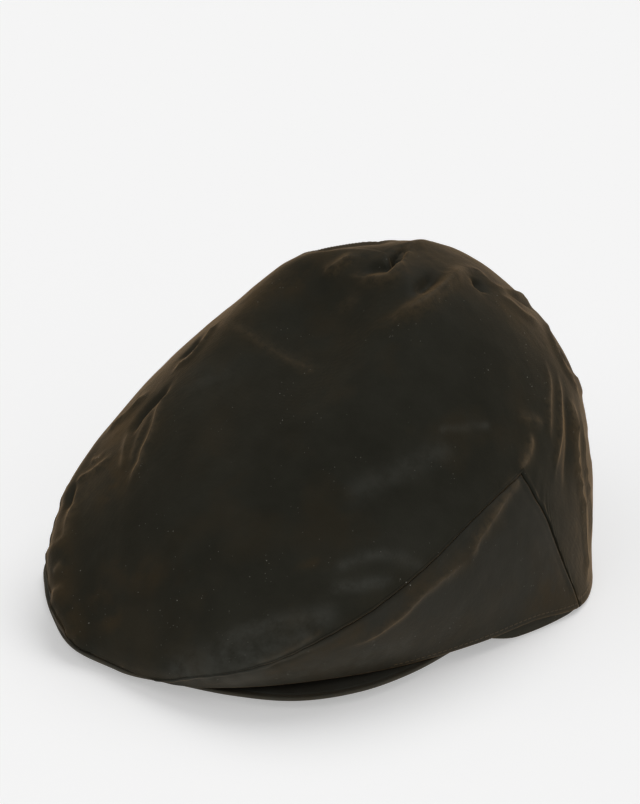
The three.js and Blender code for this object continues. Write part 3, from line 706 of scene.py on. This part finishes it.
def crown_top():
    """The top panel: columns go from its edge to the top of the crown, first one side and then the other."""
    deg, level, top, on_seam = top_panel_edge()
    mirror = slice(-2, 0, -1)
    deg, level, top, on_seam = (np.concatenate([a, sign * a[mirror]]) for a, sign in
                                ((deg, -1), (level, 1), (top, -1), (on_seam, 1)))
    coarse = np.linspace(0, 1, 60)[:, None]
    length = arc_length(bare_sheet(*crown_places(coarse, deg, level, top)))[-1]
    share = row_shares(length, CROWN_ROWS)
    place_deg, place_level = crown_places(share, deg, level, top)
    gap = share * length
    run = np.concatenate([[0], np.cumsum(np.linalg.norm(np.diff(bare_sheet(deg, level), axis=0), axis=1))])
    run = np.broadcast_to(run, gap.shape)
    seam_gap = np.where(on_seam > 0, gap, NO_STITCH)
    hem_gap = np.where(on_seam > 0, NO_STITCH, gap)
    outer, inner, layers = dressed(place_deg, place_level, seam_gap, hem_gap, run)
    clear = on_seam * SEAM_CLEAR / 2 * np.exp(-gap / SEAM_CLEAR_REACH)
    down = normalised(np.gradient(outer, axis=0))
    outer = outer + down * clear[..., None]
    inner = inner + down * clear[..., None]
    return dome_object("crown_top_cloth", outer, inner, layers)


def normalised(vectors):
    return vectors / np.maximum(np.linalg.norm(vectors, axis=-1, keepdims=True), 1e-9)


def side_panel(side, name):
    """One side panel: rows from the lower edge up to the top seam, columns from the tip to the back seam."""
    share = np.linspace(0, 1, SEAM_COLUMNS + BACK_COLUMNS + 1)[None, :] ** .96
    hem_end = BACK_SEAM[-1][0]
    lower_rows = np.array([0, .008, .02, .04, .07, .11])
    rise = np.concatenate([lower_rows, np.linspace(.16, .88, SIDE_ROWS - 12), 1 - lower_rows[::-1]])[:, None]
    top_deg, top_level = path_place(TOP_SEAM, share)
    back_deg, back_level = path_place(BACK_SEAM, 1 - rise)
    low_deg = TIP_DEG + (hem_end - TIP_DEG) * share
    straight = hem_end + (BACK_SEAM[0][0] - hem_end) * rise
    deg = low_deg + (top_deg - low_deg) * rise + (back_deg - straight) * share ** 3
    level = top_level * rise + (back_level - BACK_SEAM[0][1] * rise) * share ** 3
    bare = bare_sheet(side * deg, level)
    up = arc_length(bare)
    along = arc_length(bare.transpose(1, 0, 2)).T
    to_seam = np.minimum(up[-1] - up, along[:, -1:] - along)
    outer, inner, layers = dressed(side * deg, level, to_seam, up, along)
    layers["seam"] = np.full(deg.shape, NO_STITCH)
    if side < 0:
        outer, inner = outer[:, ::-1], inner[:, ::-1]
        layers = {key: values[:, ::-1] for key, values in layers.items()}
    return panel_object(name, outer, inner, layers)


def band_point(deg, inset, lean):
    """Place of the headband's egg shape, moved in by an inset and by a share of its lean."""
    s = np.sin(np.radians(deg))
    c = np.cos(np.radians(deg))
    square = np.where(c > 0, 2, BAND_BACK_SQUARE)
    k = (np.abs(s) ** square + np.abs(c) ** square) ** (-1 / square)
    end = np.where(c > 0, BAND_FRONT_Y, BAND_BACK_Y)
    reach = np.abs(BAND_WIDE_Y - end) - inset - lean * BAND_LEAN_LENGTH
    width = BAND_HALF_WIDTH - inset - lean * np.where(s > 0, BAND_LEAN_LEFT, BAND_LEAN_RIGHT)
    return width * s * k, BAND_WIDE_Y - reach * c * k


def band_lift(y):
    """How far the lower edge of the headband is lifted towards the front."""
    share = np.clip((BAND_LIFT_START_Y - y) / (BAND_LIFT_START_Y - BAND_LIFT_FULL_Y), 0, 1)
    return BAND_FRONT_LIFT * share * share * (3 - 2 * share)


def headband():
    """A strip folded at its lower edge: one closed section carried round the head opening."""
    deg = np.linspace(0, 360, BAND_COLUMNS, endpoint=False)
    turns = np.linspace(0, math.pi, 7)
    section = [(0.0, 1.0), (0.0, .66), (0.0, .33), (0.0, .12)]
    section += [(BAND_WALL / 2 * (1 - math.cos(t)), -BAND_WALL / 2 * math.sin(t)) for t in turns]
    section += [(BAND_WALL, .12), (BAND_WALL, .33), (BAND_WALL, .66), (BAND_WALL, 1.0)]
    _, edge_y = band_point(deg, 0, 0)
    low = band_lift(edge_y) + BAND_WALL / 2
    rows = []
    wear = []
    for inset, height in section:
        rise = np.clip(height, 0, 1)
        x, y = band_point(deg, inset, rise)
        below = np.where(height < 0, height, 0)
        rows.append(np.stack([x, y, low + below + (BAND_TOP_Z - low) * rise], -1))
        wear.append(np.full(len(deg), BAND_EDGE_WEAR if height < 0 else BAND_WEAR))
    loop = np.array(rows)
    count, columns = loop.shape[:2]
    faces = grid_faces(count, columns, True, False, 0, True)
    top = (count - 1) * columns
    faces += [(i, (i + 1) % columns, top + (i + 1) % columns, top + i) for i in range(columns)]
    layers = plain_layers(count * columns)
    layers["wear"] = np.array(wear).reshape(-1)
    return mesh_object("headband_strip", loop.reshape(-1, 3), faces, layers)


def plain_layers(count):
    """Shader values of a piece with no fold lines, patches or stitches."""
    layers = {key: np.zeros(count) for key in ("wear", "line", "painted_highlight", "rust", "run")}
    layers["crest"] = np.full(count, NO_CREST)
    layers["hem"] = np.full(count, NO_STITCH)
    layers["seam"] = np.full(count, NO_STITCH)
    return layers


def peak():
    """The peak board in its cloth: a flat plate with a rounded rim."""
    deg = PEAK_HALF_DEG * np.linspace(-1, 1, PEAK_COLUMNS + 1)
    reach = np.where(deg < 0, table_value(PEAK_RIM, "right", deg), table_value(PEAK_RIM, "left", deg))
    rim = np.stack([reach * np.sin(np.radians(deg)), PEAK_CENTRE_Y - reach * np.cos(np.radians(deg)),
                    table_value(PEAK_RIM, "z", deg)], -1)
    root_x, root_y = band_point(deg * PEAK_ROOT_DEG / PEAK_HALF_DEG, -BAND_CLEAR, 0)
    root = np.stack([root_x, root_y, np.full(len(deg), PEAK_ROOT_Z)], -1)
    half = PEAK_THICK / 2
    inward = normalised((root - rim) * np.array([1, 1, 0]))
    turns = np.linspace(-math.pi / 2, math.pi / 2, 9)
    up = np.array([0, 0, 1])
    start = rim + inward * (half - PEAK_GROW)
    width = np.linalg.norm(root - start, axis=-1, keepdims=True)
    near = [gap / width for gap in PEAK_EDGE_ROWS]
    flat = near + [near[-1] + (1 - near[-1]) * s for s in np.linspace(0, 1, PEAK_ROWS)[1:]]
    groove = [PEAK_GROOVE * np.exp(-((s * width - STITCH_AT + half) / PEAK_GROOVE_WIDE) ** 2) for s in flat]
    lower = [start + (root - start) * s + up * g for s, g in zip(flat[::-1], groove[::-1])]
    upper = [start + (root - start) * s + up * (PEAK_THICK - g) for s, g in zip(flat, groove)]
    edge = [start - inward * half * math.cos(t) + up * half * (1 + math.sin(t)) for t in turns]
    loop = np.array(lower + edge + upper)
    count, columns = loop.shape[:2]
    faces = grid_faces(count, columns, False, False, 0, True)
    top = (count - 1) * columns
    faces += [(i, i + 1, top + i + 1, top + i) for i in range(columns - 1)]
    for side, first in ((0, False), (columns - 1, True)):
        cap = tuple(j * columns + side for j in range(count))
        faces.append(cap if first else cap[::-1])
    wear = np.zeros((count, columns))
    wear[len(lower):len(lower) + len(edge) + 1] = PEAK_RIM_WEAR
    layers = plain_layers(count * columns)
    layers["wear"] = wear.reshape(-1)
    return mesh_object("peak_board", loop.reshape(-1, 3), faces, layers)


def new_node(nodes, kind, **settings):
    made = nodes.new(kind)
    for key, value in settings.items():
        if key in made.inputs:
            made.inputs[key].default_value = value
        else:
            setattr(made, key, value)
    return made


def noise_value(tree, place, scale, detail, roughness=.55):
    node = new_node(tree.nodes, "ShaderNodeTexNoise", Scale=scale, Detail=detail, Roughness=roughness)
    tree.links.new(place, node.inputs["Vector"])
    return node.outputs["Fac"]


def mapped(tree, value, low, high, to_low=0.0, to_high=1.0):
    node = new_node(tree.nodes, "ShaderNodeMapRange", clamp=True)
    for key, number in (("From Min", low), ("From Max", high), ("To Min", to_low), ("To Max", to_high)):
        node.inputs[key].default_value = number
    tree.links.new(value, node.inputs["Value"])
    return node.outputs["Result"]


def combined(tree, operation, a, b):
    node = new_node(tree.nodes, "ShaderNodeMath", operation=operation)
    for socket, value in zip(node.inputs, (a, b)):
        if isinstance(value, (int, float)):
            socket.default_value = value
        else:
            tree.links.new(value, socket)
    return node.outputs["Value"]


def product(tree, first, *others):
    """The values multiplied together."""
    for other in others:
        first = combined(tree, "MULTIPLY", first, other)
    return first


def colour_mix(tree, amount, a, b):
    node = new_node(tree.nodes, "ShaderNodeMix", data_type="RGBA")
    tree.links.new(amount, node.inputs["Factor"])
    for socket, value in ((node.inputs[6], a), (node.inputs[7], b)):
        if isinstance(value, tuple):
            socket.default_value = (*value, 1)
        else:
            tree.links.new(value, socket)
    return node.outputs[2]


def attribute(tree, name):
    return new_node(tree.nodes, "ShaderNodeAttribute", attribute_name=name).outputs["Fac"]


def thread_bands(tree, place, direction, pitch):
    """Ridges of thread across one direction."""
    along = new_node(tree.nodes, "ShaderNodeVectorMath", operation="DOT_PRODUCT")
    along.inputs[1].default_value = direction
    tree.links.new(place, along.inputs[0])
    turns = product(tree, along.outputs["Value"], 2 * math.pi / pitch)
    return combined(tree, "SINE", turns, 0.0)


def waxed_cotton(name, dark, light, sheen):
    """Dark waxed cloth: mottled tone, painted satin highlights, brown where wear has taken the wax, tan crest
    lines that are partly painted ridge highlights, painted shade along the topstitching, fine threads, lint
    specks.
    """
    material = bpy.data.materials.new(name)
    material.use_nodes = True
    tree = material.node_tree
    shader = tree.nodes["Principled BSDF"]
    place = new_node(tree.nodes, "ShaderNodeTexCoord").outputs["Object"]
    # Painted highlight: lighter satin colour where the wax would reflect, broken up by noise
    painted_highlight = product(tree, attribute(tree, "painted_highlight"),
                    mapped(tree, noise_value(tree, place, 130, 4, .65), .32, .58, .25, 1.0))

    broad = mapped(tree, noise_value(tree, place, 20, 4), .36, .66)
    patchy = mapped(tree, noise_value(tree, place, 85, 5, .6), .35, .7)
    mottle = combined(tree, "ADD", product(tree, broad, .6), product(tree, patchy, .4))
    cloth = colour_mix(tree, mottle, dark, light)
    # Mix the painted highlight into the cloth colour
    cloth = colour_mix(tree, painted_highlight, cloth, SATIN_HIGHLIGHT_PAINT)

    fuzz = mapped(tree, noise_value(tree, place, 300, 4, .7), .36, .60, .2, 1.0)
    breaks = mapped(tree, noise_value(tree, place, 95, 3, .6), .38, .58, .25, 1.0)
    rubbed = product(tree, attribute(tree, "wear"), fuzz)
    rust = product(tree, attribute(tree, "rust"),
                   mapped(tree, noise_value(tree, place, 60, 4, .6), .38, .58, .15, 1.0))
    tint = product(tree, mapped(tree, noise_value(tree, place, 30, 3), .50, .66), .22)
    cloth = colour_mix(tree, combined(tree, "MAXIMUM", rust, tint), cloth, RUSTY)
    cloth = colour_mix(tree, rubbed, cloth, BROWN)
    # Tan crest lines: wax worn off the fold tops, and partly a painted highlight along the ridges
    crest = thin_line(tree, attribute(tree, "crest"), CREST_WIDTH)
    crest = product(tree, crest, attribute(tree, "line"), breaks)
    cloth = colour_mix(tree, product(tree, crest, mapped(tree, fuzz, .2, 1, .5, 1)), cloth, WORN_AND_RIDGE_HIGHLIGHT)

    # Painted shade: a dark line along the topstitching, where the stitch sinks the cloth
    from_topstitch = combined(tree, "SUBTRACT", attribute(tree, "seam"), TOPSTITCH_AT)
    topstitch_groove_shade = thin_line(tree, from_topstitch, STITCH_WIDTH)
    cloth = colour_mix(tree, product(tree, topstitch_groove_shade, .55), cloth, STITCH_GROOVE_SHADE)
    from_stitch = combined(tree, "SUBTRACT", attribute(tree, "hem"), STITCH_AT)
    turns = product(tree, attribute(tree, "run"), 2 * math.pi / STITCH_LENGTH)
    dash = mapped(tree, combined(tree, "SINE", turns, 0.0), -.6, -.3)
    stitch = product(tree, thin_line(tree, from_stitch, STITCH_WIDTH), dash)
    cloth = colour_mix(tree, product(tree, stitch, .45), cloth, WORN_AND_RIDGE_HIGHLIGHT)

    cloth = colour_mix(tree, lint_specks(tree, place, 300.0, .065, .5), cloth, LINT)
    cloth = colour_mix(tree, lint_specks(tree, place, 450.0, .085, .8), cloth, LINT_DIM)
    tree.links.new(cloth, shader.inputs["Base Color"])

    rough = combined(tree, "SUBTRACT", mapped(tree, rubbed, 0, 1, .62, .75), product(tree, painted_highlight, .12))
    tree.links.new(rough, shader.inputs["Roughness"])
    shader.inputs["Specular IOR Level"].default_value = .06
    shader.inputs["Sheen Weight"].default_value = sheen
    shader.inputs["Sheen Roughness"].default_value = .32
    shader.inputs["Sheen Tint"].default_value = (.44, .27, .12, 1)

    warp = thread_bands(tree, place, (1, 0, 0), THREAD_PITCH)
    weft = thread_bands(tree, place, (0, .707, .707), THREAD_PITCH)
    cross = thread_bands(tree, place, (0, .707, -.707), THREAD_PITCH)
    weave = combined(tree, "ADD", combined(tree, "ADD", warp, weft), cross)
    fine = new_node(tree.nodes, "ShaderNodeBump", Strength=.12, Distance=.0001)
    tree.links.new(weave, fine.inputs["Height"])
    coarse = new_node(tree.nodes, "ShaderNodeBump", Strength=.30, Distance=.0010)
    tree.links.new(noise_value(tree, place, 150, 5, .6), coarse.inputs["Height"])
    tree.links.new(fine.outputs["Normal"], coarse.inputs["Normal"])
    raised = new_node(tree.nodes, "ShaderNodeBump", Strength=1.0, Distance=.0003)
    tree.links.new(combined(tree, "ADD", crest, product(tree, stitch, .6)), raised.inputs["Height"])
    tree.links.new(coarse.outputs["Normal"], raised.inputs["Normal"])
    tree.links.new(raised.outputs["Normal"], shader.inputs["Normal"])
    return material


def thin_line(tree, distance, width):
    """1 where a distance in millimetres is 0, falling to nothing beyond a width."""
    near = product(tree, distance, 1 / width)
    return combined(tree, "EXPONENT", product(tree, near, near, -1.0), 0.0)


def lint_specks(tree, place, scale, size, share):
    """A few small dots, gathered in loose groups."""
    cells = new_node(tree.nodes, "ShaderNodeTexVoronoi", Scale=scale)
    tree.links.new(place, cells.inputs["Vector"])
    pick = new_node(tree.nodes, "ShaderNodeSeparateColor")
    tree.links.new(cells.outputs["Color"], pick.inputs["Color"])
    small = combined(tree, "LESS_THAN", cells.outputs["Distance"], size)
    few = combined(tree, "LESS_THAN", pick.outputs["Red"], share)
    group = mapped(tree, noise_value(tree, place, 70, 2), .53, .60)
    return product(tree, small, few, group)


def dress_node(node, piece, dark, light, sheen):
    """Give a piece its cloth and put it in the place of its CAD node."""
    piece.data.materials.append(waxed_cotton(piece.name, dark, light, sheen))
    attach(piece, "root")
    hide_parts(node)


def dress_nodes():
    dress_node("crown_top", crown_top(), DARK, LIGHT, .8)
    left = side_panel(1, "side_panel_left_cloth")
    # The left side panel gets the painted lighter cloth tones
    dress_node("side_panel_left", left, SIDE_PAINTED_LIT_DARK, SIDE_PAINTED_LIT_LIGHT, .6)
    right = side_panel(-1, "side_panel_right_cloth")
    dress_node("side_panel_right", right, DARK, LIGHT, .2)
    # The peak gets painted lighter cloth tones against the shade in the gap
    dress_node("peak", peak(), PEAK_PAINTED_LIT_DARK, PEAK_PAINTED_LIT_LIGHT, .4)
    # The headband gets painted lighter cloth tones against the shade under the hem
    dress_node("headband", headband(), BAND_PAINTED_LIT_DARK, BAND_PAINTED_LIT_LIGHT, .4)


def floor():
    bpy.ops.mesh.primitive_plane_add(size=FLOOR_SIZE, location=(0, 0, 0))
    ground = bpy.context.object
    ground.name = "floor"
    material = bpy.data.materials.new("floor")
    material.use_nodes = True
    shader = material.node_tree.nodes["Principled BSDF"]
    shader.inputs["Base Color"].default_value = (FLOOR_TONE, FLOOR_TONE, FLOOR_TONE, 1)
    shader.inputs["Roughness"].default_value = .9
    shader.inputs["Specular IOR Level"].default_value = 0
    shader.inputs["Emission Color"].default_value = (1, 1, 1, 1)
    shader.inputs["Emission Strength"].default_value = FLOOR_GLOW
    ground.data.materials.append(material)


def soft_sun(name, towards, strength, spread):
    """Even light from one side of the sky, with soft shadows."""
    data = bpy.data.lights.new(name, "SUN")
    data.energy = strength
    data.angle = math.radians(spread)
    made = bpy.data.objects.new(name, data)
    made.location = towards
    made.rotation_euler = (-Vector(towards)).to_track_quat("-Z", "Y").to_euler()
    bpy.context.scene.collection.objects.link(made)


def lights():
    world = bpy.data.worlds.new("studio")
    world.use_nodes = True
    world.node_tree.nodes["Background"].inputs["Color"].default_value = (1, 1, 1, 1)
    world.node_tree.nodes["Background"].inputs["Strength"].default_value = SKY_STRENGTH
    bpy.context.scene.world = world
    bpy.context.scene.view_settings.view_transform = "Standard"
    for light in LIGHTS:
        soft_sun(**light)


def camera():
    data = bpy.data.cameras.new("camera")
    data.sensor_fit = "HORIZONTAL"
    data.sensor_width = SENSOR_WIDTH
    data.lens = FOCAL_PX / IMAGE_WIDTH * SENSOR_WIDTH
    data.shift_x = SHIFT_X_PX / IMAGE_WIDTH
    data.shift_y = SHIFT_Y_PX / IMAGE_WIDTH
    data.clip_end = 20
    made = bpy.data.objects.new("camera", data)
    a = math.radians(CAMERA_AZIMUTH)
    e = math.radians(CAMERA_ELEVATION)
    away = Vector((math.sin(a) * math.cos(e), -math.cos(a) * math.cos(e), math.sin(e)))
    made.location = Vector(TARGET) + away * CAMERA_DISTANCE
    made.rotation_euler = (-away).to_track_quat("-Z", "Y").to_euler()
    bpy.context.scene.collection.objects.link(made)
    bpy.context.scene.camera = made


camera()
dress_nodes()
floor()
lights()
